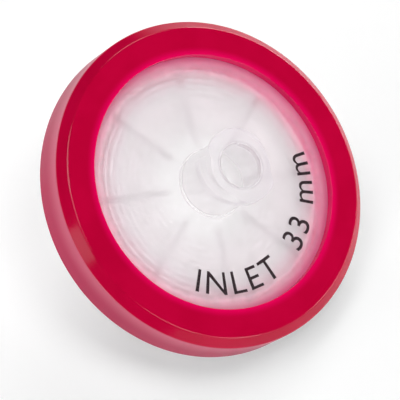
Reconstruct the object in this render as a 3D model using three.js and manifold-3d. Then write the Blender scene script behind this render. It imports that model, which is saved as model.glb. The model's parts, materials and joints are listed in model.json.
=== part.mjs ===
// A syringe filter of the 33 mm class, lying as it comes to rest on a table.
// Two moulded housings close around a round membrane, and a ring moulded over
// their rims holds them shut. All sizes are in millimetres.
//
// Each piece is drawn upright about its own axis: +Z points out of the inlet,
// +X points at the side that ends up lowest, and Z = 0 is the plane where the
// two housings meet. The last group tips the filter onto its rim and its
// outlet tip, as it lies on a table.

import * as THREE from 'three';
import { mergeVertices } from 'three/addons/utils/BufferGeometryUtils.js';
import Module from 'manifold-3d';

const wasm = await Module();
wasm.setup();

// ---- driving dimensions ----

// Smoothness of everything round. An even count that isn't a multiple of four
// puts a flat under the resting points, and corners at both ends along Y.
const segments = 54;
const filletSteps = 3;
const mouldGap = 0.04; // left between any two pieces that touch

// Across the disc, from the filtering area outwards
const chamberRadius = 12.0;
const membraneGrip = 0.6; // width of the membrane's rim between the housings
const weldWidth = 2.8; // width of the joint outside the membrane
const ringWall = 1.31; // ring outside the housings' rims
const ringLipReach = 2.4; // how far the ring's lips reach in over the rims

// Through the disc, from the joint both ways
const chamberDepth = 0.95; // open space over the membrane
const ceilingThickness = 0.93;
const membraneThickness = 0.2;
const channelDepth = 0.6; // drain channels under the membrane
const floorThickness = 1.04;
const ringLip = 0.91; // height of the ring's lips over the housings' faces
const ringChamfer = 0.92; // on the ring's outer edges, measured both ways
const ringLipEase = 0.12; // small bevel on the lips' inner edges

// Ribs under the inlet ceiling
const spokeCount = 8;
const spokeAngle = 7.5 * Math.PI / 180; // of the first spoke, from +X
const spokeWidth = 0.55;
const spokeClearance = 0.42; // between a spoke and the joint
const spokeInnerRadius = 4.4;
const ridgePitch = 0.65;
const ridgeHeight = 0.28;
const ridgeInnerRadius = 5.2;
const ribRoot = 0.3; // how far a rib or a thread is sunk into its wall

// Channels in the outlet floor
const groovePitch = 1.6;
const grooveWidth = 0.8;
const grooveInnerRadius = 2.6;
const runnerWidth = 0.8;

// Both luer ends
const luerTaper = 0.03; // radius lost for each millimetre

// Inlet: a female luer lock
const socketMouthRadius = 2.15;
const socketFloorThickness = 0.83;
const inletHoleRadius = 1.0;
const inletHeight = 6.6; // from the housing's face to the mouth
const hubWall = 1.1; // at the mouth
const hubDraft = 0.11; // radius gained from the mouth down to the fillet
const hubFillet = 0.8;
const mouthEase = 0.12;

// Lock thread around the mouth
const threadStarts = 2;
const threadLead = 5.0; // rise in one turn
const threadDepth = 0.6;
const threadCrest = 0.75;
const threadUpperFlank = 0.5;
const threadLowerFlank = 0.3;
const threadTurnBelow = 0.34; // of a turn, before the crest meets the mouth
const threadTurnAbove = 0.24; // of a turn, until the ridge has left the mouth
const threadSteps = 26;
const threadAngle = 142 * Math.PI / 180; // where the first crest meets the mouth

// Outlet: a male luer slip
const outletLength = 9.4; // from the housing's face to the tip
const outletBoreRadius = 1.0;
const outletBoreDraft = 0.012; // radius gained for each millimetre inwards
const tipWall = 0.98;
const tipEase = 0.15;
const bossStep = 0.88; // how far the boss stands out around the cone
const bossHeight = 1.5;
const bossFillet = 0.6;

// ---- radii and heights that follow from them ----

const membraneRadius = chamberRadius + membraneGrip;
const flangeRadius = membraneRadius + weldWidth;
const ringRadius = flangeRadius + mouldGap + ringWall;
const ringInnerRadius = flangeRadius - ringLipReach;

const inletJoint = mouldGap / 2;
const ceiling = inletJoint + chamberDepth;
const inletFace = ceiling + ceilingThickness;
const outletJoint = -mouldGap / 2;
const membraneFloor = outletJoint - membraneThickness - mouldGap;
const channelFloor = membraneFloor - channelDepth;
const outletFace = channelFloor - floorThickness;
const ringTop = inletFace + mouldGap + ringLip;
const ringBottom = outletFace - mouldGap - ringLip;

const mouth = inletFace + inletHeight;
const hubRadius = socketMouthRadius + hubWall;
const threadRadius = hubRadius + threadDepth;
const tip = outletFace - outletLength;
const tipRadius = outletBoreRadius + tipWall;

// How many round ribs or channels fit between two radii.
const countBetween = (inner, outer, pitch) => Math.floor((outer - inner) / pitch);

// ---- helpers ----

const point = (radius, height) => new THREE.Vector2(radius, height);

// A body turned about Z. Its profile runs outwards along undersides and up the
// outside.
function turned(profile) {
  const geometry = new THREE.LatheGeometry(profile, segments);
  geometry.rotateX(Math.PI / 2);
  return geometry;
}

// Points of a concave quarter round from a flat face at faceHeight up to a
// wall at wallRadius. The size is negative where the wall goes down.
function rootFillet(wallRadius, faceHeight, size) {
  const reach = Math.abs(size);
  const points = [];
  for (let step = 0; step <= filletSteps; step += 1) {
    const turn = step / filletSteps * Math.PI / 2;
    const radius = wallRadius + reach * (1 - Math.sin(turn));
    const height = faceHeight + size * (1 - Math.cos(turn));
    points.push(point(radius, height));
  }
  return points;
}

function toSolid(geometry) {
  const bare = geometry.clone();
  bare.deleteAttribute('normal');
  bare.deleteAttribute('uv');
  const merged = mergeVertices(bare);
  return new wasm.Manifold(new wasm.Mesh({
    numProp: 3,
    vertProperties: new Float32Array(merged.attributes.position.array),
    triVerts: new Uint32Array(merged.index.array),
  }));
}

function toGeometry(solid) {
  const mesh = solid.getMesh();
  const geometry = new THREE.BufferGeometry();
  geometry.setAttribute('position', new THREE.BufferAttribute(mesh.vertProperties, 3));
  geometry.setIndex(new THREE.BufferAttribute(mesh.triVerts, 1));
  geometry.computeVertexNormals();
  return geometry;
}

// A straight bar along a spoke, from one radius to another.
function spokeBar(inner, outer, width, low, high, angle) {
  const geometry = new THREE.BoxGeometry(outer - inner, width, high - low);
  geometry.translate((inner + outer) / 2, 0, (low + high) / 2);
  geometry.rotateZ(angle);
  return geometry;
}

function spokeBars(inner, outer, width, low, high) {
  const bars = [];
  for (let index = 0; index < spokeCount; index += 1) {
    const angle = spokeAngle + index / spokeCount * 2 * Math.PI;
    bars.push(spokeBar(inner, outer, width, low, high, angle));
  }
  return bars;
}

function pieceMesh(name, geometry, color, roughness) {
  const material = new THREE.MeshStandardMaterial({ color, roughness, metalness: 0 });
  const mesh = new THREE.Mesh(geometry, material);
  mesh.name = name;
  return mesh;
}

// ---- inlet housing ----

// Ceiling of the chamber, outwards, with its round ridges hanging from it.
function ceilingProfile() {
  const points = [point(inletHoleRadius, ceiling)];
  const count = countBetween(ridgeInnerRadius, chamberRadius, ridgePitch);
  for (let index = 0; index < count; index += 1) {
    const start = ridgeInnerRadius + index * ridgePitch;
    points.push(point(start, ceiling));
    points.push(point(start + ridgePitch / 2, ceiling - ridgeHeight));
  }
  points.push(point(ridgeInnerRadius + count * ridgePitch, ceiling));
  points.push(point(chamberRadius, ceiling));
  return points;
}

function inletBody() {
  const socketFloor = ceiling + socketFloorThickness;
  const socketFloorRadius = socketMouthRadius - luerTaper * (mouth - socketFloor);
  const profile = [
    ...ceilingProfile(),
    point(chamberRadius, inletJoint),
    point(flangeRadius, inletJoint),
    point(flangeRadius, inletFace),
    ...rootFillet(hubRadius + hubDraft, inletFace, hubFillet),
    point(hubRadius, mouth - mouthEase),
    point(hubRadius - mouthEase, mouth),
    point(socketMouthRadius + mouthEase, mouth),
    point(socketMouthRadius, mouth - mouthEase),
    point(socketFloorRadius, socketFloor),
    point(inletHoleRadius, socketFloor),
    point(inletHoleRadius, ceiling),
  ];
  return turned(profile);
}

// One start of the lock thread: its section is drawn out straight, then
// wrapped around the hub from its upper end down.
function threadRidge(start) {
  const root = hubRadius - ribRoot;
  const section = new THREE.Shape([
    point(root, -threadCrest - threadLowerFlank),
    point(hubRadius, -threadCrest - threadLowerFlank),
    point(threadRadius, -threadCrest),
    point(threadRadius, 0),
    point(hubRadius, threadUpperFlank),
    point(root, threadUpperFlank),
  ]);
  const turns = threadTurnBelow + threadTurnAbove;
  const geometry = new THREE.ExtrudeGeometry(section, {
    depth: turns,
    steps: threadSteps,
    bevelEnabled: false,
  });
  const position = geometry.attributes.position;
  for (let index = 0; index < position.count; index += 1) {
    const radius = position.getX(index);
    const turn = threadTurnAbove - position.getZ(index);
    const height = mouth + position.getY(index) + turn * threadLead;
    const angle = threadAngle + (turn + start / threadStarts) * 2 * Math.PI;
    position.setXYZ(index, radius * Math.cos(angle), radius * Math.sin(angle), height);
  }
  return geometry;
}

// Everything above the mouth, which ends the thread level with it.
function aboveMouth() {
  const side = 4 * threadRadius;
  const geometry = new THREE.BoxGeometry(side, side, side);
  geometry.translate(0, 0, mouth + side / 2);
  return geometry;
}

function inletHousing() {
  let solid = toSolid(inletBody());
  const low = inletJoint + spokeClearance;
  const high = ceiling + ribRoot;
  const outer = chamberRadius + ribRoot;
  for (const bar of spokeBars(spokeInnerRadius, outer, spokeWidth, low, high)) {
    solid = solid.add(toSolid(bar));
  }
  for (let start = 0; start < threadStarts; start += 1) {
    solid = solid.add(toSolid(threadRidge(start)));
  }
  solid = solid.subtract(toSolid(aboveMouth()));
  return pieceMesh('inlet_housing', toGeometry(solid), 0xe6dde0, 0.35);
}

// ---- membrane ----

function membrane() {
  const top = outletJoint;
  const bottom = top - membraneThickness;
  const profile = [
    point(0, bottom),
    point(membraneRadius, bottom),
    point(membraneRadius, top),
    point(0, top),
  ];
  return pieceMesh('membrane', turned(profile), 0xf4f2ef, 0.9);
}

// ---- outlet housing ----

const grooveCount = countBetween(grooveInnerRadius + grooveWidth, chamberRadius, groovePitch) + 1;

// Floor under the membrane, inwards, with the round channels cut into it.
function floorProfile() {
  const points = [];
  for (let index = grooveCount - 1; index >= 0; index -= 1) {
    const inner = grooveInnerRadius + index * groovePitch;
    const outer = inner + grooveWidth;
    points.push(point(outer, membraneFloor));
    points.push(point(outer, channelFloor));
    points.push(point(inner, channelFloor));
    points.push(point(inner, membraneFloor));
  }
  return points;
}

function outletBody() {
  const seatRadius = membraneRadius + mouldGap;
  const coneRoot = outletFace - bossHeight;
  const coneRootRadius = tipRadius + luerTaper * (coneRoot - tip);
  const bossRadius = coneRootRadius + bossStep;
  const boreTop = outletBoreRadius + outletBoreDraft * (membraneFloor - tip);
  const profile = [
    point(boreTop, membraneFloor),
    point(outletBoreRadius, tip),
    point(tipRadius - tipEase, tip),
    point(tipRadius, tip + tipEase),
    point(coneRootRadius, coneRoot),
    point(bossRadius, coneRoot),
    ...rootFillet(bossRadius, outletFace, -bossFillet).reverse(),
    point(flangeRadius, outletFace),
    point(flangeRadius, outletJoint),
    point(seatRadius, outletJoint),
    point(seatRadius, membraneFloor),
    ...floorProfile(),
    point(boreTop, membraneFloor),
  ];
  return turned(profile);
}

function outletHousing() {
  const outer = grooveInnerRadius + (grooveCount - 1) * groovePitch + grooveWidth / 2;
  let solid = toSolid(outletBody());
  for (const bar of spokeBars(0, outer, runnerWidth, channelFloor, 0)) {
    solid = solid.subtract(toSolid(bar));
  }
  return pieceMesh('outlet_housing', toGeometry(solid), 0xe6dde0, 0.35);
}

// ---- sealing ring ----

// One lip, from the ring's outer wall over its edge to the groove behind it.
// side is 1 above the housings and -1 below them.
function lipProfile(edge, groove, side) {
  return [
    point(ringRadius, edge - side * ringChamfer),
    point(ringRadius - ringChamfer, edge),
    point(ringInnerRadius + ringLipEase, edge),
    point(ringInnerRadius, edge - side * ringLipEase),
    point(ringInnerRadius, groove),
    point(flangeRadius + mouldGap, groove),
  ];
}

function sealingRing() {
  const upper = lipProfile(ringTop, inletFace + mouldGap, 1);
  const lower = lipProfile(ringBottom, outletFace - mouldGap, -1).reverse();
  const profile = [...upper, ...lower, upper[0]];
  return pieceMesh('sealing_ring', turned(profile), 0xb8002f, 0.2);
}

// ---- the filter, upright, and the pose that it rests in ----

const upright = new THREE.Group();
upright.add(sealingRing(), inletHousing(), membrane(), outletHousing());

// It rests on the flat of its lower rim and on the flat of its outlet tip.
const flatShare = Math.cos(Math.PI / segments);
const rimRadius = (ringRadius - ringChamfer) * flatShare;
const tipFaceRadius = (tipRadius - tipEase) * flatShare;
const tilt = Math.atan2(ringBottom - tip, rimRadius - tipFaceRadius);
upright.rotation.y = tilt;
upright.position.z = rimRadius * Math.sin(tilt) - ringBottom * Math.cos(tilt);

const filter = new THREE.Group();
filter.add(upright);

export default filter;
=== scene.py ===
"""A syringe filter on a pale table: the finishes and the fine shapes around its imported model.

Every piece of the filter is built upright in the disc's own frame, in millimetres, with +Z out
of the inlet and +X towards the side that lies lowest. One matrix then tips it as it rests.
"""

import json
import math

import bpy
from mathutils import Matrix, Vector


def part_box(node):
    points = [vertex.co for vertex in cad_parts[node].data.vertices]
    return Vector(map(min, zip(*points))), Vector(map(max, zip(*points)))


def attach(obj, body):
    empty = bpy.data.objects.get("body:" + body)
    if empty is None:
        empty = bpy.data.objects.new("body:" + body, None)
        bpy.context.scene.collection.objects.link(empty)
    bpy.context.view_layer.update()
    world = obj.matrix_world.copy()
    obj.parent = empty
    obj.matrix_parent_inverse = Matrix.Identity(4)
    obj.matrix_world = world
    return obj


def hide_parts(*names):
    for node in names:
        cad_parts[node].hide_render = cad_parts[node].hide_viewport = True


MM = 0.001
TURN = 2 * math.pi

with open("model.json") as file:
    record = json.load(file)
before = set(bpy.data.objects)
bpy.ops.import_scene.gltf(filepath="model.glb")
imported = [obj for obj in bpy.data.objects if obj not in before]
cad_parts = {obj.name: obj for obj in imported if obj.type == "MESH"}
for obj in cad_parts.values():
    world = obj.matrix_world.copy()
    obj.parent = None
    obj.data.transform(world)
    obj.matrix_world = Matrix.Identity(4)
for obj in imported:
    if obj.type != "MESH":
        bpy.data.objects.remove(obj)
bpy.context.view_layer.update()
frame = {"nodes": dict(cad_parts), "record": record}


# ---- the disc's own frame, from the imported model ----

mounts = {mount["name"]: mount for mount in frame["record"]["mounts"]}
disc_axis = Vector(mounts["inlet_mouth"]["axis"])
ring_low, ring_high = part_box("sealing_ring")
disc_centre = (ring_low + ring_high) / 2
tilt = math.atan2(disc_axis.x, disc_axis.z)
resting = Matrix.Translation(disc_centre) @ Matrix.Rotation(tilt, 4, "Y") @ Matrix.Scale(MM, 4)
upright = resting.inverted()


def reach(node):
    """Smallest and largest radius, lowest and highest point of a CAD node in the disc's frame."""
    points = [upright @ vertex.co for vertex in frame["nodes"][node].data.vertices]
    radii = [math.hypot(point.x, point.y) for point in points]
    heights = [point.z for point in points]
    return min(radii), max(radii), min(heights), max(heights)


ring_inner, ring_outer, ring_bottom, ring_top = reach("sealing_ring")
_, flange_radius, joint_above, mouth = reach("inlet_housing")
_, _, tip, joint_below = reach("outlet_housing")
_, membrane_radius, membrane_bottom, membrane_top = reach("membrane")

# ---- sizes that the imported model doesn't give, in millimetres ----

GAP = 0.04  # between pieces that touch
FLAT_MARGIN = 0.05  # from a flat's edge to the points that keep it flat

RING_CHAMFER = 0.92
RING_EDGE = 0.32  # rounding between a chamfer and a flat face
RING_CORNER = 0.22  # rounding between a chamfer and the outer wall
RING_LIP = 0.91
RING_LIP_ROUND = 0.07
RING_COLUMNS = 288

CHAMBER_RADIUS = 12.0
CHAMBER_DEPTH = 0.95
CEILING = 0.93
SPOKES = 8
SPOKE_ANGLE = math.radians(7.5)
SPOKE_WIDTH = 0.55
SPOKE_HEIGHT = 0.53
SPOKE_START = 4.4
SPOKE_START_SLOPE = 0.2
SPOKE_FOOT = 0.12  # how far a rib's side spreads at its foot
SPOKE_BEVEL = 0.08
RIDGE_PITCH = 0.65
RIDGE_HEIGHT = 0.28
RIDGE_START = 5.2
RIDGE_COUNT = 10
RIDGE_ROWS = 7  # rows of points to a ridge

LUER_TAPER = 0.03
SOCKET_RADIUS = 2.15
SOCKET_FLOOR = 0.83
SOCKET_FLOOR_ROUND = 0.3
SOCKET_ROW = 1.0
INLET_HOLE = 1.0
INLET_HOLE_ROUND = 0.15
HUB_WALL = 1.1
HUB_DRAFT = 0.11
HUB_FILLET = 0.35
HUB_ROW = 0.07  # between rows of points, fine enough for the thread
MOUTH_ROUND = 0.12

THREAD_STARTS = 2
THREAD_LEAD = 5.0
THREAD_DEPTH = 0.6
THREAD_CREST = 0.75
THREAD_UPPER_FLANK = 0.5
THREAD_LOWER_FLANK = 0.3
THREAD_BELOW = 0.34
THREAD_ABOVE = 0.24
THREAD_LEAD_IN = 0.03  # of a turn, as the two above
THREAD_ANGLE = math.radians(142)

FLOOR = 1.04
CHANNEL_DEPTH = 0.6
GROOVE_PITCH = 1.6
GROOVE_WIDTH = 0.8
GROOVE_START = 2.6
GROOVE_COUNT = 6
GROOVE_BEVEL = 0.06
GROOVE_ROW = 0.1
RUNNER_WIDTH = 0.8
RUNNER_END_SLOPE = 0.15
OUTLET_BORE = 1.0
OUTLET_BORE_DRAFT = 0.012
OUTLET_BORE_ROUND = 0.1
TIP_WALL = 0.98
TIP_ROUND = 0.15
BOSS_STEP = 0.88
BOSS_HEIGHT = 1.5
BOSS_ROUND = 0.2
BOSS_FILLET = 0.6

FILM_EDGE_ROUND = 0.05
FILM_COLUMNS = 192

inlet_face = joint_above + CHAMBER_DEPTH + CEILING
ceiling = joint_above + CHAMBER_DEPTH
membrane_floor = membrane_bottom - GAP
channel_floor = membrane_floor - CHANNEL_DEPTH
outlet_face = channel_floor - FLOOR
hub_radius = SOCKET_RADIUS + HUB_WALL


# ---- building bodies of revolution ----


def smooth(low, high, value):
    """0 below low, 1 above high, and a smooth step between them. Works downwards too."""
    share = min(1.0, max(0.0, (value - low) / (high - low)))
    return share * share * (3 - 2 * share)


def rounded(before, at, after, radius, steps=6):
    """Points of the arc that rounds the corner at, between two straight runs."""
    into = (Vector(before) - Vector(at)).normalized()
    out = (Vector(after) - Vector(at)).normalized()
    half = into.angle(out) / 2
    setback = radius / math.tan(half)
    centre = Vector(at) + (into + out).normalized() * radius / math.sin(half)
    start = Vector(at) + into * setback - centre
    end = Vector(at) + out * setback - centre
    sweep = start.angle_signed(end)
    points = []
    for step in range(steps + 1):
        arm = start.copy()
        arm.rotate(Matrix.Rotation(-sweep * step / steps, 2))
        points.append(centre + arm)
    return points


def outline(corners):
    """A closed loop of points (radius, height) from corners (radius, height, rounding)."""
    points = []
    count = len(corners)
    for index, (radius, height, rounding) in enumerate(corners):
        at = (radius, height)
        if rounding:
            before = corners[index - 1][:2]
            after = corners[(index + 1) % count][:2]
            points.extend(rounded(before, at, after, rounding))
        else:
            points.append(Vector(at))
    return points


def supported(points, margin=FLAT_MARGIN):
    """The loop with points added just inside each long straight run, to keep flats flat."""
    result = []
    count = len(points)
    for index, start in enumerate(points):
        end = points[(index + 1) % count]
        run = end - start
        result.append(start)
        if run.length > 4 * margin:
            result.append(start + run.normalized() * margin)
            result.append(end - run.normalized() * margin)
    return result


def even_columns(count):
    return [TURN * index / count for index in range(count)]


def spoke_columns(fine=0.4, coarse=1.5, half_width=4.6):
    """Angles of columns, in radians, that lie closer together across the spokes.

    The steps between them and the half width of the fine part are in degrees.
    """
    sector = 360 / SPOKES
    fine_count = round(2 * half_width / fine)
    coarse_count = round((sector - 2 * half_width) / coarse)
    angles = []
    for spoke in range(SPOKES):
        start = math.degrees(SPOKE_ANGLE) + spoke * sector - half_width
        for step in range(fine_count):
            angles.append(start + 2 * half_width * step / fine_count)
        for step in range(coarse_count):
            share = step / coarse_count
            angles.append(start + 2 * half_width + (sector - 2 * half_width) * share)
    return [math.radians(angle) for angle in angles]


def laid_down(mesh):
    """A new piece from a mesh built upright, in its place on the table."""
    mesh.transform(resting)
    piece = bpy.data.objects.new(mesh.name, mesh)
    bpy.context.scene.collection.objects.link(piece)
    return piece


def revolve(name, loop, columns, shape=None):
    """A closed body turned from a loop of (radius, height), which runs up the outside.

    shape(row, radius, height, angle) may move a point, and returns its radius and height.
    Where the loop touches the axis its two ends are closed with a fan.
    """
    on_axis = [index for index, point in enumerate(loop) if point[0] < 1e-6]
    rows = [index for index in range(len(loop)) if index not in on_axis]
    vertices = []
    faces = []
    for row in rows:
        for angle in columns:
            radius, height = loop[row][0], loop[row][1]
            if shape:
                radius, height = shape(row, radius, height, angle)
            vertices.append((radius * math.cos(angle), radius * math.sin(angle), height))
    count = len(columns)
    joins = list(zip(range(len(rows)), range(1, len(rows))))
    if not on_axis:
        joins.append((len(rows) - 1, 0))
    for low, high in joins:
        for column in range(count):
            following = (column + 1) % count
            faces.append((low * count + column, low * count + following,
                          high * count + following, high * count + column))
    if on_axis:
        bottom = len(vertices)
        vertices.append((0, 0, loop[on_axis[0]][1]))
        vertices.append((0, 0, loop[on_axis[1]][1]))
        last = (len(rows) - 1) * count
        for column in range(count):
            following = (column + 1) % count
            faces.append((bottom, following, column))
            faces.append((bottom + 1, last + column, last + following))
    mesh = bpy.data.meshes.new(name)
    mesh.from_pydata(vertices, [], faces)
    mesh.validate()
    mesh.shade_smooth()
    return laid_down(mesh)


# ---- the ring ----


def sealing_ring():
    groove = flange_radius + GAP
    groove_top = ring_top - RING_LIP
    groove_bottom = ring_bottom + RING_LIP
    loop = outline([
        (ring_outer, ring_bottom + RING_CHAMFER, RING_CORNER),
        (ring_outer, ring_top - RING_CHAMFER, RING_CORNER),
        (ring_outer - RING_CHAMFER, ring_top, RING_EDGE),
        (ring_inner, ring_top, RING_LIP_ROUND),
        (ring_inner, groove_top, 0),
        (groove, groove_top, 0),
        (groove, groove_bottom, 0),
        (ring_inner, groove_bottom, 0),
        (ring_inner, ring_bottom, RING_LIP_ROUND),
        (ring_outer - RING_CHAMFER, ring_bottom, RING_EDGE),
    ])
    return revolve("sealing_ring_moulded", supported(loop), even_columns(RING_COLUMNS))


# ---- the inlet housing ----


def spoke_share(radius, angle, width):
    """1 on a spoke, 0 away from it, with soft sides."""
    sector = TURN / SPOKES
    away = (angle - SPOKE_ANGLE + sector / 2) % sector - sector / 2
    sideways = abs(radius * math.sin(away))
    return 1 - smooth(width / 2 - SPOKE_BEVEL, width / 2 + SPOKE_FOOT, sideways)


def ceiling_drop(radius, angle):
    """How far the ribs hang below the chamber's ceiling."""
    last = RIDGE_START + RIDGE_COUNT * RIDGE_PITCH
    wave = 0.5 - 0.5 * math.cos(TURN * (radius - RIDGE_START) / RIDGE_PITCH)
    ridge = RIDGE_HEIGHT * wave if RIDGE_START < radius < last else 0
    start = smooth(SPOKE_START - SPOKE_START_SLOPE, SPOKE_START + SPOKE_START_SLOPE, radius)
    spoke = SPOKE_HEIGHT * start * spoke_share(radius, angle, SPOKE_WIDTH)
    return max(ridge, spoke)


def thread_height(height, angle):
    """How far the lock thread stands out of the hub."""
    tallest = 0
    for start in range(THREAD_STARTS):
        turn = ((angle - THREAD_ANGLE) / TURN - start / THREAD_STARTS) % 1
        for lap in (0, -1):
            along = turn + lap
            if not -THREAD_BELOW < along < THREAD_ABOVE:
                continue
            over_crest = height - mouth - along * THREAD_LEAD
            upper = 1 - smooth(0, THREAD_UPPER_FLANK, over_crest)
            lower = smooth(-THREAD_CREST - THREAD_LOWER_FLANK, -THREAD_CREST, over_crest)
            lead_in = smooth(-THREAD_BELOW, -THREAD_BELOW + THREAD_LEAD_IN, along)
            tallest = max(tallest, upper * lower * lead_in)
    return THREAD_DEPTH * tallest


def spaced(start, end, step):
    """Points from start to end, with neither end, no further apart than step."""
    start, end = Vector(start), Vector(end)
    count = math.ceil((end - start).length / step)
    return [start.lerp(end, index / count) for index in range(1, count)]


def inlet_housing():
    socket_floor = ceiling + SOCKET_FLOOR
    floor_radius = SOCKET_RADIUS - LUER_TAPER * (mouth - socket_floor)
    root = hub_radius + HUB_DRAFT
    ribbed = spaced((INLET_HOLE, ceiling), (CHAMBER_RADIUS, ceiling), RIDGE_PITCH / RIDGE_ROWS)
    fillet = rounded((flange_radius, inlet_face), (root, inlet_face), (root, mouth),
                     HUB_FILLET, steps=10)
    hub = spaced(fillet[-1], (hub_radius, mouth - MOUTH_ROUND), HUB_ROW)
    mouth_edge = rounded(hub[-1], (hub_radius, mouth), (SOCKET_RADIUS, mouth), MOUTH_ROUND)
    socket_edge = rounded((hub_radius, mouth), (SOCKET_RADIUS, mouth),
                          (floor_radius, socket_floor), MOUTH_ROUND)
    rim = supported([
        Vector((CHAMBER_RADIUS, ceiling)),
        Vector((CHAMBER_RADIUS, joint_above)),
        Vector((flange_radius, joint_above)),
        Vector((flange_radius, inlet_face)),
    ])[:-2]
    socket = [
        *spaced(socket_edge[-1], (floor_radius, socket_floor), SOCKET_ROW),
        *rounded(socket_edge[-1], (floor_radius, socket_floor), (INLET_HOLE, socket_floor),
                 SOCKET_FLOOR_ROUND),
        *rounded((floor_radius, socket_floor), (INLET_HOLE, socket_floor),
                 (INLET_HOLE, ceiling), INLET_HOLE_ROUND),
    ]
    below_hub = [Vector((INLET_HOLE, ceiling)), *ribbed, *rim, *fillet]
    threaded = [*hub, *mouth_edge]
    loop = [*below_hub, *threaded, *socket_edge, *socket]
    hub_rows = range(len(below_hub), len(below_hub) + len(threaded))

    def shape(row, radius, height, angle):
        if row <= len(ribbed):
            return radius, height - ceiling_drop(radius, angle)
        if row in hub_rows:
            return radius + thread_height(min(height, mouth), angle), height
        return radius, height

    return revolve("inlet_housing_moulded", loop, spoke_columns(), shape)


# ---- the membrane ----


def membrane():
    closed = supported(outline([
        (0, membrane_bottom, 0),
        (membrane_radius, membrane_bottom, FILM_EDGE_ROUND),
        (membrane_radius, membrane_top, FILM_EDGE_ROUND),
        (0, membrane_top, 0),
    ]))
    off_axis = [point for point in closed if point.x > 1e-6]
    loop = [Vector((0, membrane_bottom)), *off_axis, Vector((0, membrane_top))]
    return revolve("membrane_film", loop, even_columns(FILM_COLUMNS))


# ---- the outlet housing ----


def channel_drop(radius, angle):
    """How deep the drain channels are cut below the membrane's seat."""
    deepest = 0
    for index in range(GROOVE_COUNT):
        middle = GROOVE_START + index * GROOVE_PITCH + GROOVE_WIDTH / 2
        away = abs(radius - middle)
        side = smooth(GROOVE_WIDTH / 2 - GROOVE_BEVEL, GROOVE_WIDTH / 2 + GROOVE_BEVEL, away)
        deepest = max(deepest, 1 - side)
    last = GROOVE_START + (GROOVE_COUNT - 1) * GROOVE_PITCH + GROOVE_WIDTH / 2
    runner = spoke_share(radius, angle, RUNNER_WIDTH)
    runner *= 1 - smooth(last, last + RUNNER_END_SLOPE, radius)
    return CHANNEL_DEPTH * max(deepest, runner)


def outlet_housing():
    seat = membrane_radius + GAP
    cone_root = outlet_face - BOSS_HEIGHT
    tip_radius = OUTLET_BORE + TIP_WALL
    cone_radius = tip_radius + LUER_TAPER * (cone_root - tip)
    boss = cone_radius + BOSS_STEP
    bore_top = OUTLET_BORE + OUTLET_BORE_DRAFT * (membrane_floor - tip)
    nozzle = outline([
        (bore_top, membrane_floor, 0),
        (OUTLET_BORE, tip, OUTLET_BORE_ROUND),
        (tip_radius, tip, TIP_ROUND),
        (cone_radius, cone_root, BOSS_ROUND),
        (boss, cone_root, BOSS_ROUND),
        (boss, outlet_face, BOSS_FILLET),
        (flange_radius, outlet_face, 0),
        (flange_radius, joint_below, 0),
        (seat, joint_below, 0),
        (seat, membrane_floor, 0),
    ])
    channelled = spaced((seat, membrane_floor), (bore_top, membrane_floor), GROOVE_ROW)
    loop = supported(nozzle)
    loop = [*loop[:-2], *channelled]
    first = len(loop) - len(channelled)

    def shape(row, radius, height, angle):
        if row >= first:
            return radius, height - channel_drop(radius, angle)
        return radius, height

    return revolve("outlet_housing_moulded", loop, spoke_columns(), shape)


# ---- the printed marking ----

PRINT_WORDS = "INLET  33 mm"
PRINT_BASELINE = 11.35
PRINT_HEIGHT = 2.35  # of the capitals
PRINT_MIDDLE = math.radians(0)
PRINT_INK = 0.02
PRINT_LIFT = 0.005  # off the plate
CAPITAL_SHARE = 0.7  # of the type's size
LETTER_SPACING = 1.12
LETTER_CURVE_STEPS = 6


def printed_marking():
    """Black ink on the inlet plate, its letters' feet towards the ring."""
    curve = bpy.data.curves.new("marking_letters", "FONT")
    curve.body = PRINT_WORDS
    curve.align_x = "CENTER"
    curve.size = PRINT_HEIGHT / CAPITAL_SHARE
    curve.space_character = LETTER_SPACING
    curve.extrude = PRINT_INK / 2
    curve.resolution_u = LETTER_CURVE_STEPS
    letters = bpy.data.objects.new("marking_letters", curve)
    bpy.context.scene.collection.objects.link(letters)
    bpy.context.view_layer.update()
    depsgraph = bpy.context.evaluated_depsgraph_get()
    mesh = bpy.data.meshes.new_from_object(letters.evaluated_get(depsgraph))
    mesh.name = "printed_marking"
    bpy.data.objects.remove(letters)
    for vertex in mesh.vertices:
        along, up, over = vertex.co
        radius = PRINT_BASELINE - up
        angle = PRINT_MIDDLE + along / (PRINT_BASELINE - PRINT_HEIGHT / 2)
        vertex.co = (radius * math.cos(angle), radius * math.sin(angle),
                     inlet_face + PRINT_INK / 2 + PRINT_LIFT + over)
    return laid_down(mesh)


# ---- materials ----


class Number:
    """A socket. Python's operators turn what it carries into Math nodes."""

    def __init__(self, nodes, socket):
        self.nodes = nodes
        self.socket = socket

    def math(self, operation, *others):
        return self.nodes.add("ShaderNodeMath", {"operation": operation},
                              {0: self, **dict(enumerate(others, 1))})

    def __add__(self, other):
        return self.math("ADD", other)

    __radd__ = __add__

    def __sub__(self, other):
        return self.math("SUBTRACT", other)

    def __rsub__(self, other):
        return self * -1 + other

    def __mul__(self, other):
        return self.math("MULTIPLY", other)

    __rmul__ = __mul__

    def larger(self, other):
        return self.math("MAXIMUM", other)

    def step(self, low, high):
        """0 below low, 1 above high, and a smooth step between them."""
        return self.nodes.add("ShaderNodeMapRange", {"interpolation_type": "SMOOTHSTEP"},
                              {0: self, 1: low, 2: high})

    def past(self, level, edge):
        """0 to 1 across a soft edge: how far past the level it starts, and where it ends."""
        return self.step(level + edge[0], level + edge[1])


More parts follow.
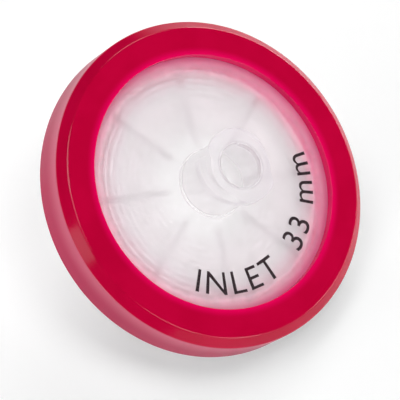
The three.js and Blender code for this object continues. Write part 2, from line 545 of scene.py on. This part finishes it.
class Nodes:
    """A node tree under construction."""

    def __init__(self, tree):
        self.tree = tree

    def add(self, kind, settings=None, inputs=None, output=0):
        """Adds a node. Its settings are set first, then its sockets' values or links."""
        made = self.tree.nodes.new(kind)
        for name, value in (settings or {}).items():
            setattr(made, name, value)
        for socket, value in (inputs or {}).items():
            self.feed(made.inputs[socket], value)
        return Number(self, made.outputs[output])

    def feed(self, socket, value):
        if isinstance(value, Number):
            self.tree.links.new(value.socket, socket)
        elif isinstance(value, tuple) and socket.type == "RGBA":
            socket.default_value = (*value, 1.0)
        else:
            socket.default_value = value

    def mix(self, share, first, second):
        return self.add("ShaderNodeMix", {"data_type": "RGBA"}, {0: share, 6: first, 7: second},
                        output=2)

    def parts(self, vector):
        """The three numbers of a vector."""
        split = self.add("ShaderNodeSeparateXYZ", inputs={0: vector}).socket.node
        return [Number(self, socket) for socket in split.outputs]


class Finish(Nodes):
    """A material under construction, around its Principled shader."""

    def __init__(self, name, **constants):
        self.material = bpy.data.materials.new(name)
        self.material.use_nodes = True
        super().__init__(self.material.node_tree)
        self.shader = self.tree.nodes["Principled BSDF"]
        for socket, value in constants.items():
            self.feed(self.shader.inputs[socket.replace("_", " ")], value)

    def drive(self, name, value):
        """Links what changes over the surface to one of the shader's sockets."""
        self.feed(self.shader.inputs[name], value)

    def place(self):
        """The point on the piece, in the disc's frame, in millimetres."""
        point = self.add("ShaderNodeTexCoord", output="Object")
        return self.add("ShaderNodeMapping", {"vector_type": "POINT"}, {
            "Vector": point,
            "Location": upright.to_translation(),
            "Rotation": upright.to_euler(),
            "Scale": upright.to_scale(),
        })

    def radius(self, point):
        x, y, _ = self.parts(point)
        return (x * x + y * y).math("SQRT")

    def noise(self, point, scale, detail=3.0, roughness=0.5):
        return self.add("ShaderNodeTexNoise", {}, {"Vector": point, "Scale": scale,
                        "Detail": detail, "Roughness": roughness})

    def bump(self, height):
        return self.add("ShaderNodeBump", {}, {"Strength": BUMP_STRENGTH,
                        "Distance": BUMP_DEPTH, "Height": height})


# A grain is a noise: its scale per millimetre, its detail and, where given, its roughness.
BUMP_DEPTH = 0.01 * MM
BUMP_STRENGTH = 0.3
PLASTIC_IOR = 1.49

CRIMSON = (0.43, 0.0002, 0.030)
CRIMSON_CLOUD = (0.46, 0.0005, 0.034)
# painted light: the lip's and the outer wall's glow, and the wall's sheen
LIP_GLOW = (0.70, 0.0005, 0.085)
WALL_GLOW = (0.43, 0.0005, 0.060)
WALL_PAINTED_SHEEN = (0.56, 0.085, 0.155)
CRIMSON_GRAIN = (0.25, 2.0)
CRIMSON_CLOUD_EDGE = (0.35, 0.65)
LIP_EDGE = (-0.1, 0.9)  # from the ring's inner edge outwards
WALL_EDGE = (-0.08, -0.02)  # just inside the ring's outer wall
SHEEN_BELOW = 2.2  # where the wall's painted sheen starts, above the ring's underside
SHEEN_ABOVE = 0.8  # and where it is full, below the ring's top
RING_GLOSS = 0.10  # roughness of the flats
WALL_DULLNESS = 0.2  # what the outer wall adds to it
RING_UNEVENNESS = 0.06
RING_GLOSS_GRAIN = (1.5, 4.0)
RING_BUMP_GRAIN = (0.8, 3.0)


def crimson_polypropylene():
    """Glossy dark crimson moulding, with glow painted where light gets in through its edges, and
    a painted sheen up its outer wall.
    """
    finish = Finish("crimson_polypropylene", IOR=PLASTIC_IOR, Specular_IOR_Level=0.3)
    point = finish.place()
    _, _, height = finish.parts(point)
    radius = finish.radius(point)
    cloud = finish.noise(point, *CRIMSON_GRAIN)
    colour = finish.mix(cloud.step(*CRIMSON_CLOUD_EDGE), CRIMSON, CRIMSON_CLOUD)
    # painted glow: the lip's inner edge lighter and more magenta, for light through the thin
    # plastic
    lip = 1 - radius.past(ring_inner, LIP_EDGE)
    colour = finish.mix(lip, colour, LIP_GLOW)
    # painted glow and sheen: the outer wall more magenta, and lighter towards its top for the
    # bright table it reflects there
    wall = radius.past(ring_outer, WALL_EDGE)
    sheen_towards_top = height.step(ring_bottom + SHEEN_BELOW, ring_top - SHEEN_ABOVE)
    colour = finish.mix(wall, colour, finish.mix(sheen_towards_top, WALL_GLOW, WALL_PAINTED_SHEEN))
    finish.drive("Base Color", colour)
    uneven = finish.noise(point, *RING_GLOSS_GRAIN) * RING_UNEVENNESS
    finish.drive("Roughness", uneven + wall * WALL_DULLNESS + RING_GLOSS)
    finish.drive("Normal", finish.bump(finish.noise(point, *RING_BUMP_GRAIN)))
    return finish.material


MILK = (0.97, 0.925, 0.945)
MILK_CLOUD = (0.985, 0.95, 0.965)
# painted shade of the ribs and the bore, as seen through the plate
RIB_PAINTED_SHADE = (0.66, 0.60, 0.64)
BORE_SHADE = (0.45, 0.38, 0.42)
HUB_MILK = (0.70, 0.65, 0.69)
# painted red glow from the ring, and a faint painted glow given off in the margin
PAINTED_RED_GLOW = (0.98, 0.42, 0.53)
PAINTED_DEEP_RED_GLOW = (0.95, 0.13, 0.32)
CARRIED_LIGHT = (0.27, 0.08, 0.13)
MILK_GRAIN = (0.35, 2.0)
MILK_CLOUD_EDGE = (0.3, 0.7)
LIGHT_SPREAD = 0.08 * MM  # how far light spreads in the plastic

# Soft edges, by height: each starts and ends so far past a face.
UNDER_EDGE = (0.1, 0.5)  # past the chamber's ceiling, what lies below it ends
HUB_EDGE = (0.01, 0.08)  # past the inlet plate, the hub starts
ROOT_EDGE = (0.15, 0.6)  # past the inlet plate, the hub's root ends
WELL_EDGE = (0.3, 1.5)  # past the inlet plate, the clear foot of the socket ends
BORE_EDGE = (-0.7, -0.3)  # short of the mouth, the shade inside the bore starts
FLOOR_EDGE = (0.2, 0.6)  # past the outlet plate, the inside of the disc starts

# Soft edges, by distance from the disc's axis.
HUB_ROUND_EDGE = (0.8, 1.2)  # past the hub's wall
BORE_WALL = (2.15, 2.3)
SOCKET_WALL = (2.3, 2.6)
MARGIN_LINE_INSIDE = (11.15, 11.35)
MARGIN_LINE_OUTSIDE = (11.45, 11.75)
RIBS_END = (11.3, 11.8)
CARRIED_EDGE = (11.6, 12.1)
RED_GLOW_EDGE = (9.2, 13.2)
DEEP_RED_GLOW_EDGE = (12.2, 13.2)
RIM_EDGE = (11.4, 12.6)
UNDER_RIM_EDGE = (9.3, 11.3)
RED_GLOW_WANDER = 1.2  # how far the painted red glow's edge moves in and out
RED_GLOW_GRAIN = (0.4, 2.0)

# The ribs' painted shade, as they look through the plate.
SPOKE_SPREAD = 0.6  # how far a spoke's shade reaches past its side
SPOKE_INNER_END = 0.3
RIDGE_INNER_END = 0.5
SPOKE_STRENGTH = 0.85
RIDGE_STRENGTH = 0.68
MARGIN_LINE_STRENGTH = 0.4
BORE_SIDES = math.radians(72)  # the way across the bore to its two shaded sides
BORE_SIDES_EDGE = (0.9, 1.7)

# How dense the plastic looks, up to 1 where nothing shows through it.
BODY_DENSITY = 0.18
UNDER_DENSITY = 0.06
RIB_DENSITY = 0.19
HUB_OUTSIDE_DENSITY = 0.07
BORE_EDGE_DENSITY = 0.25
HUB_THINNING = 0.04
ROOT_THINNING = 0.08
RIM_DENSITY = 0.4
UNDER_RIM_DENSITY = 0.3
WELL_THINNING = 0.4

MILKY_ROUGHNESS = 0.25
HUB_DULLNESS = 0.3
MILKY_UNEVENNESS = 0.1
MILKY_GLOSS_GRAIN = (2.0, 3.0)


def seen_ribs(finish, x, y, radius):
    """How dark the spokes, the ridges and a thin ring near the margin are painted, as a strength
    from 0 to 1.
    """
    spokes = None
    for index in range(SPOKES // 2):
        angle = SPOKE_ANGLE + index / SPOKES * TURN
        sideways = (x * math.sin(angle) - y * math.cos(angle)).math("ABSOLUTE")
        bar = 1 - sideways.step(0, SPOKE_WIDTH / 2 + SPOKE_SPREAD)
        spokes = spokes.larger(bar) if spokes else bar
    spokes = spokes * radius.past(SPOKE_START, (-SPOKE_INNER_END, SPOKE_INNER_END))
    wave = (radius * (TURN / RIDGE_PITCH) - TURN * RIDGE_START / RIDGE_PITCH).math("COSINE")
    ridges = (0.5 - wave * 0.5) * radius.past(RIDGE_START, (0, RIDGE_INNER_END))
    margin_line = radius.step(*MARGIN_LINE_INSIDE) * (1 - radius.step(*MARGIN_LINE_OUTSIDE))
    ribs = (spokes * SPOKE_STRENGTH).larger(ridges * RIDGE_STRENGTH)
    return ribs.larger(margin_line * MARGIN_LINE_STRENGTH)


def milky_polypropylene():
    """Natural polypropylene: ribs and film show through it, with painted shade on the ribs and a
    painted red glow next to the ring.
    """
    finish = Finish("milky_polypropylene", IOR=PLASTIC_IOR, Specular_IOR_Level=0.3,
                    Subsurface_Weight=1.0, Subsurface_Scale=LIGHT_SPREAD,
                    Subsurface_Radius=(1.0, 1.0, 1.0), Emission_Strength=1.0)
    point = finish.place()
    x, y, height = finish.parts(point)
    radius = finish.radius(point)
    cloud = finish.noise(point, *MILK_GRAIN)
    under = 1 - height.past(ceiling, UNDER_EDGE)
    on_hub = height.past(inlet_face, HUB_EDGE)
    root = on_hub * (1 - height.past(inlet_face, ROOT_EDGE))
    round_hub = 1 - radius.past(hub_radius, HUB_ROUND_EDGE)
    ribs = seen_ribs(finish, x, y, radius) * under * (1 - radius.step(*RIBS_END))
    to_shaded_side = (x * math.cos(BORE_SIDES) + y * math.sin(BORE_SIDES)).math("ABSOLUTE")
    well = (1 - radius.step(*SOCKET_WALL)) * (1 - height.past(inlet_face, WELL_EDGE))
    bore_edge = ((1 - radius.step(*BORE_WALL)) * height.past(mouth, BORE_EDGE)
                 * to_shaded_side.step(*BORE_SIDES_EDGE))

    colour = finish.mix(cloud.step(*MILK_CLOUD_EDGE), MILK, MILK_CLOUD)
    colour = finish.mix(on_hub, colour, HUB_MILK)
    # painted shade: the ribs darker where they show through the plate, spread past their sides,
    # with the thicker plastic's own tone; a thin ring near the margin is darkened alike
    colour = finish.mix(ribs, colour, RIB_PAINTED_SHADE)
    # painted shade: two dark arcs on opposite sides inside the bore's mouth
    colour = finish.mix(bore_edge, colour, BORE_SHADE)
    # painted red glow: pinker towards the ring and deep pink beside it, for the ring's red light
    # in the clear plastic
    uneven = radius + (finish.noise(point, *RED_GLOW_GRAIN) - 0.5) * RED_GLOW_WANDER
    colour = finish.mix(uneven.step(*RED_GLOW_EDGE), colour, PAINTED_RED_GLOW)
    finish.drive("Base Color", finish.mix(radius.step(*DEEP_RED_GLOW_EDGE), colour, PAINTED_DEEP_RED_GLOW))

    # painted glow: a faint pink light given off inside the margin, for light the plastic carries
    # from the ring
    inside = under * height.past(outlet_face, FLOOR_EDGE)
    carried = inside * radius.step(*CARRIED_EDGE)
    finish.drive("Emission Color", finish.mix(carried, (0, 0, 0), CARRIED_LIGHT))

    rim = (uneven.step(*RIM_EDGE) * RIM_DENSITY
           + under * uneven.step(*UNDER_RIM_EDGE) * UNDER_RIM_DENSITY)
    outside = on_hub * radius.step(*SOCKET_WALL)
    plate = (under * UNDER_DENSITY + ribs * RIB_DENSITY + outside * HUB_OUTSIDE_DENSITY
             - on_hub * HUB_THINNING - root * ROOT_THINNING
             + bore_edge * BORE_EDGE_DENSITY + BODY_DENSITY)
    finish.drive("Alpha", (plate + rim) * (1 - well * WELL_THINNING))
    uneven_gloss = finish.noise(point, *MILKY_GLOSS_GRAIN) * MILKY_UNEVENNESS
    finish.drive("Roughness", uneven_gloss + round_hub * HUB_DULLNESS + MILKY_ROUGHNESS)
    return finish.material


FILM = (0.94, 0.895, 0.91)
FILM_FIBRE = (0.97, 0.93, 0.945)
# painted red glow from the ring
FILM_PAINTED_RED_GLOW = (0.95, 0.80, 0.85)
FIBRE_GRAIN = (9.0, 5.0, 0.65)
FIBRE_EDGE = (0.3, 0.7)
FILM_RED_GLOW_EDGE = (3.0, 10.5)  # from the disc's axis
FILM_ROUGHNESS = 0.75
FIBRE_UNEVENNESS = 0.2


def white_film():
    """Matt porous membrane."""
    finish = Finish("white_film", IOR=1.4, Specular_IOR_Level=0.2)
    point = finish.place()
    fibre = finish.noise(point, *FIBRE_GRAIN)
    colour = finish.mix(fibre.step(*FIBRE_EDGE), FILM, FILM_FIBRE)
    # painted red glow: the film pinker and a little darker towards its rim, for the ring's red
    # light
    colour = finish.mix(finish.radius(point).step(*FILM_RED_GLOW_EDGE), colour, FILM_PAINTED_RED_GLOW)
    finish.drive("Base Color", colour)
    finish.drive("Roughness", fibre * FIBRE_UNEVENNESS + FILM_ROUGHNESS)
    finish.drive("Normal", finish.bump(fibre))
    return finish.material


INK = (0.012, 0.006, 0.008)
THIN_INK = (0.035, 0.02, 0.025)
SPECKLE_GRAIN = (6.0, 4.0)
SPECKLE_EDGE = (0.3, 0.8)
INK_ROUGHNESS = 0.45
SPECKLE_UNEVENNESS = 0.2


def black_ink():
    """Printed ink, a little uneven."""
    finish = Finish("black_ink", Specular_IOR_Level=0.15)
    point = finish.place()
    speckle = finish.noise(point, *SPECKLE_GRAIN)
    finish.drive("Base Color", finish.mix(speckle.step(*SPECKLE_EDGE), INK, THIN_INK))
    finish.drive("Roughness", speckle * SPECKLE_UNEVENNESS + INK_ROUGHNESS)
    return finish.material


# ---- the stage: a white table, soft light and the camera ----

TABLE_SIZE = 0.4
TABLE_WHITE = (0.93, 0.93, 0.93)
TABLE_GLOW = (0.14, 0.14, 0.14)  # towards the camera only
SKY = (0.015, 0.015, 0.015)
LAMP_DISTANCE = 0.6
BACKDROP_BEARING = 125  # degrees from the camera's, as the lamps'
BACKDROP_TOP = (4, 16)  # degrees up, where it starts to fade and where it ends
BACKDROP_SIDES = (0.1, 0.4)

# Bearing and elevation in degrees, width and height in metres, and level, as in soft_box.
TABLE_LAMPS = {
    "overhead_left": (-90, 75, 0.26, 0.26, 0.33),
    "overhead_right": (50, 74, 0.22, 0.22, 0.23),
    "back": (168, 41, 0.25, 0.20, 0.17),
    "back_low": (158, 7, 0.25, 0.14, 0.26),
    "back_right_low": (130, 7, 0.30, 0.14, 0.50),
    "right_low": (90, 7, 0.25, 0.14, 0.25),
    "front_right_low": (50, 7, 0.20, 0.14, 0.20),
    "front_low": (-30, 7, 0.18, 0.14, 0.24),
    "front_left": (-60, 22, 0.24, 0.16, 0.17),
    "front": (-39, 37, 0.16, 0.16, 0.05),
    "left_low": (-118, 7, 0.30, 0.14, 0.30),
}
FILTER_LAMPS = {
    "edge_light": (42, 30, 0.16, 0.25, 0.20),
}
WINDOW_LAMPS = {
    "window_light": (57, 62, 0.20, 0.20, 0.11),
    "window_light_back": (165, 55, 0.20, 0.20, 0.11),
}

CAMERA_ELEVATION = math.radians(55.07)
CAMERA_AZIMUTH = math.radians(-56.9)
CAMERA_DISTANCE = 0.300
CAMERA_LENS = 273.3
CAMERA_SENSOR = 36
CAMERA_AIM = (-1.13, -1.66)  # of the aim from the ring's upper edge, right and up, millimetres


def white_table():
    mesh = bpy.data.meshes.new("table")
    half = TABLE_SIZE / 2
    mesh.from_pydata([(-half, -half, 0), (half, -half, 0), (half, half, 0), (-half, half, 0)],
                     [], [(0, 1, 2, 3)])
    table = bpy.data.objects.new("table", mesh)
    bpy.context.scene.collection.objects.link(table)
    finish = Finish("white_table", Base_Color=TABLE_WHITE, Roughness=0.9,
                    Specular_IOR_Level=0.0, Emission_Strength=1.0)
    seen = finish.add("ShaderNodeLightPath", output="Is Camera Ray")
    finish.drive("Emission Color", finish.mix(seen, (0, 0, 0), TABLE_GLOW))
    mesh.materials.append(finish.material)


def soft_box(name, bearing, elevation, width, height, level, lit=None):
    """A lamp that faces the disc, its bearing in degrees from the camera's, turning to its right.

    The level is how bright a white surface facing it becomes. A collection in lit is all that
    the lamp lights.
    """
    lamp = bpy.data.lights.new(name, "AREA")
    lamp.shape = "RECTANGLE"
    lamp.size = width
    lamp.size_y = height
    lamp.energy = level * (math.pi * LAMP_DISTANCE) ** 2
    box = bpy.data.objects.new(name, lamp)
    bpy.context.scene.collection.objects.link(box)
    azimuth = CAMERA_AZIMUTH + math.radians(bearing)
    flat = math.cos(math.radians(elevation))
    towards = Vector((flat * math.cos(azimuth), flat * math.sin(azimuth),
                      math.sin(math.radians(elevation))))
    box.location = disc_centre + towards * LAMP_DISTANCE
    box.rotation_euler = towards.to_track_quat("Z", "Y").to_euler()
    box.visible_camera = False
    if lit:
        box.light_linking.receiver_collection = lit


def studio_light(filter_pieces, window_pieces):
    """Low soft boxes all round, soft light from above, and a white backdrop behind.

    Three more boxes leave the table its plain shadow: one lights the filter alone, and two light
    only what is seen in the window of the ring.
    """
    world = bpy.data.worlds.new("studio")
    bpy.context.scene.world = world
    world.use_nodes = True
    nodes = Nodes(world.node_tree)
    across, along, height = nodes.parts(nodes.add("ShaderNodeTexCoord", output="Generated"))
    backdrop_azimuth = CAMERA_AZIMUTH + math.radians(BACKDROP_BEARING)
    facing = across * math.cos(backdrop_azimuth) + along * math.sin(backdrop_azimuth)
    low = 1 - height.step(*(math.sin(math.radians(angle)) for angle in BACKDROP_TOP))
    backdrop = low * facing.step(*BACKDROP_SIDES)
    glossy = nodes.add("ShaderNodeLightPath", output="Is Glossy Ray")
    seen = nodes.add("ShaderNodeLightPath", output="Is Camera Ray")
    mirrored = nodes.mix(backdrop * glossy, SKY, (1, 1, 1))
    background = world.node_tree.nodes["Background"]
    nodes.feed(background.inputs["Color"], nodes.mix(seen, mirrored, (1, 1, 1)))
    for lamps, lit in ((TABLE_LAMPS, None), (FILTER_LAMPS, filter_pieces),
                       (WINDOW_LAMPS, window_pieces)):
        for name, place in lamps.items():
            soft_box(name, *place, lit=lit)


def look():
    scene = bpy.context.scene
    data = bpy.data.cameras.new("camera")
    data.lens = CAMERA_LENS
    data.sensor_width = CAMERA_SENSOR
    camera = bpy.data.objects.new("camera", data)
    scene.collection.objects.link(camera)
    level = math.cos(CAMERA_ELEVATION)
    towards = Vector((level * math.cos(CAMERA_AZIMUTH), level * math.sin(CAMERA_AZIMUTH),
                      math.sin(CAMERA_ELEVATION)))
    turned = towards.to_track_quat("Z", "Y")
    upper_edge = resting @ Vector((0, 0, ring_top - RING_CHAMFER))
    aim = upper_edge + turned @ Vector((*CAMERA_AIM, 0)) * MM
    camera.rotation_euler = turned.to_euler()
    camera.location = aim + towards * CAMERA_DISTANCE
    scene.camera = camera
    scene.view_settings.view_transform = "Standard"


# ---- everything in its place ----


def finished(piece, material, node):
    """Gives a piece its finish and puts it in a CAD node's place."""
    piece.data.materials.clear()
    piece.data.materials.append(material)
    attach(piece, "root")
    if node:
        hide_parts(node)
    return piece


milky = milky_polypropylene()
ring = finished(sealing_ring(), crimson_polypropylene(), "sealing_ring")
plate = finished(inlet_housing(), milky, "inlet_housing")
film = finished(membrane(), white_film(), "membrane")
base = finished(outlet_housing(), milky, "outlet_housing")
marking = finished(printed_marking(), black_ink(), None)

for piece in (ring, plate, base):
    piece.visible_diffuse = False  # keeps their colour off the table around them

window_pieces = bpy.data.collections.new("window_pieces")
for piece in (plate, film, base, marking):
    window_pieces.objects.link(piece)
filter_pieces = bpy.data.collections.new("filter_pieces")
filter_pieces.children.link(window_pieces)
filter_pieces.objects.link(ring)

white_table()
studio_light(filter_pieces, window_pieces)
look()
